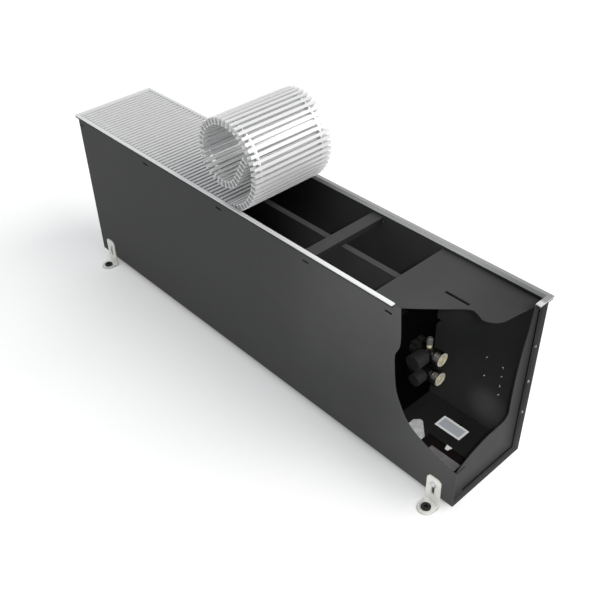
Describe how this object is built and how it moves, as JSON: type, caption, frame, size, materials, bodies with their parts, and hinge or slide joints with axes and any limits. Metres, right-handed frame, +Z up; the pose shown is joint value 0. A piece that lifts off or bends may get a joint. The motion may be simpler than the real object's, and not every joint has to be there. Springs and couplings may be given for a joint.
{
  "type": "trench convector heater",
  "caption": "Deep floor trench convector heater, shown as a cut-away with its roll-up grille half rolled back, valves and adjustable feet.",
  "frame": {"origin": "ground under the middle of the part: the feet stand at z = 0", "axes": "+X along the trench towards the valves, +Y across the trench from the window's side to the exchanger's side, +Z up"},
  "size_m": [1.086, 0.2504, 0.5414],
  "materials": {
    "case_paint": "fine dark grey powder coat",
    "cover_paint": "fine grey powder coat",
    "chassis_paint": "fine grey powder coat",
    "trim_aluminium": "satin anodised",
    "grille_aluminium": "satin anodised",
    "sleeve_aluminium": "satin",
    "black_rubber": "matt",
    "galvanised_sheet": "zinc coated",
    "zinc_screws": "zinc plated",
    "foot_zinc": "warm zinc plated",
    "copper_tube": "drawn copper",
    "fin_aluminium": "mill finish",
    "nickel_brass": "nickel plated, satin",
    "plug_brass": "turned",
    "pin_steel": "ground",
    "cap_plastic": "fine grain",
    "vent_plastic": "fine grain",
    "plate_aluminium": "printed plate, left blank",
    "clip_plastic": "moulded"
  },
  "bodies": {
    "case": {"trough": "case_paint", "end_panel_left": "case_paint", "end_panel_right": "case_paint", "end_screws_left": "zinc_screws", "end_screws_right": "zinc_screws", "trim_near": "trim_aluminium", "trim_far": "trim_aluminium", "trim_left": "trim_aluminium", "trim_right": "trim_aluminium", "edge_seals": "black_rubber", "crossbars": "chassis_paint", "end_ledge_left": "chassis_paint", "air_guide": "chassis_paint", "cover_ledge_near": "chassis_paint", "cover_ledge_far": "chassis_paint", "partition_lower": "chassis_paint", "partition_upper": "chassis_paint", "copper_circuit": "copper_tube", "fin_pack": "fin_aluminium", "exchanger_plate_left": "galvanised_sheet", "exchanger_plate_right": "galvanised_sheet", "bracket_screws": "zinc_screws", "flow_tail_nut": "nickel_brass", "flow_valve_body": "nickel_brass", "flow_blank_plug": "plug_brass", "return_tail_nut": "nickel_brass", "return_valve_body": "nickel_brass", "return_blank_plug": "plug_brass", "vent_body": "plug_brass", "floor_plate": "galvanised_sheet", "slot_cover": "galvanised_sheet", "blank_rating_plate": "plate_aluminium", "slot_clip": "clip_plastic", "foot_screws": "zinc_screws", "foot_nuts": "zinc_screws"},
    "grille": {"grille_flat_bars": "grille_aluminium", "grille_roll_bars": "grille_aluminium", "grille_flat_sleeves": "sleeve_aluminium", "grille_roll_sleeves": "sleeve_aluminium"},
    "cover": {"cover_plate": "cover_paint"},
    "flow_cap_body": {"flow_cap": "cap_plastic"},
    "flow_pin_body": {"flow_pin": "pin_steel"},
    "return_cap_body": {"return_cap": "cap_plastic"},
    "return_spindle_body": {"return_spindle": "plug_brass"},
    "vent_knob_body": {"vent_knob": "vent_plastic"},
    "near_left_foot": {"foot_near_left": "foot_zinc", "grommet_near_left": "black_rubber"},
    "near_right_foot": {"foot_near_right": "foot_zinc", "grommet_near_right": "black_rubber"},
    "far_left_foot": {"foot_far_left": "foot_zinc", "grommet_far_left": "black_rubber"},
    "far_right_foot": {"foot_far_right": "foot_zinc", "grommet_far_right": "black_rubber"}
  },
  "joints": [
    {"name": "grille_lift", "type": "slide", "parent": "case", "child": "grille", "axis": [0, 0, 1], "range_m": [0, 0.12]},
    {"name": "cover_lift", "type": "slide", "parent": "case", "child": "cover", "axis": [0, 0, 1], "range_m": [0, 0.1]},
    {"name": "flow_cap_turn", "type": "hinge", "parent": "case", "child": "flow_cap_body", "pos_m": [0.369, -0.0025, 0.192], "axis": [0, 1, 0], "range_deg": [0, 600]},
    {"name": "flow_pin_press", "type": "slide", "parent": "case", "child": "flow_pin_body", "axis": [0, 1, 0], "range_m": [0, 0.0025]},
    {"name": "return_cap_turn", "type": "hinge", "parent": "case", "child": "return_cap_body", "pos_m": [0.369, -0.0025, 0.146], "axis": [0, 1, 0], "range_deg": [-720, 0]},
    {"name": "return_spindle_turn", "type": "hinge", "parent": "case", "child": "return_spindle_body", "pos_m": [0.369, 0.0155, 0.146], "axis": [0, 1, 0], "range_deg": [-1080, 0]},
    {"name": "vent_turn", "type": "hinge", "parent": "case", "child": "vent_knob_body", "pos_m": [0.369, 0.0275, 0.215], "axis": [0, 0, 1], "range_deg": [0, 540]},
    {"name": "near_left_foot_height", "type": "slide", "parent": "case", "child": "near_left_foot", "axis": [0, 0, 1], "range_m": [0, 0.022]},
    {"name": "near_right_foot_height", "type": "slide", "parent": "case", "child": "near_right_foot", "axis": [0, 0, 1], "range_m": [0, 0.022]},
    {"name": "far_left_foot_height", "type": "slide", "parent": "case", "child": "far_left_foot", "axis": [0, 0, 1], "range_m": [0, 0.022]},
    {"name": "far_right_foot_height", "type": "slide", "parent": "case", "child": "far_right_foot", "axis": [0, 0, 1], "range_m": [0, 0.022]}
  ],
  "couplings": [
    {"joint": "flow_pin_press", "follows": "flow_cap_turn", "m_per_rad": 0.0002387}
  ]
}
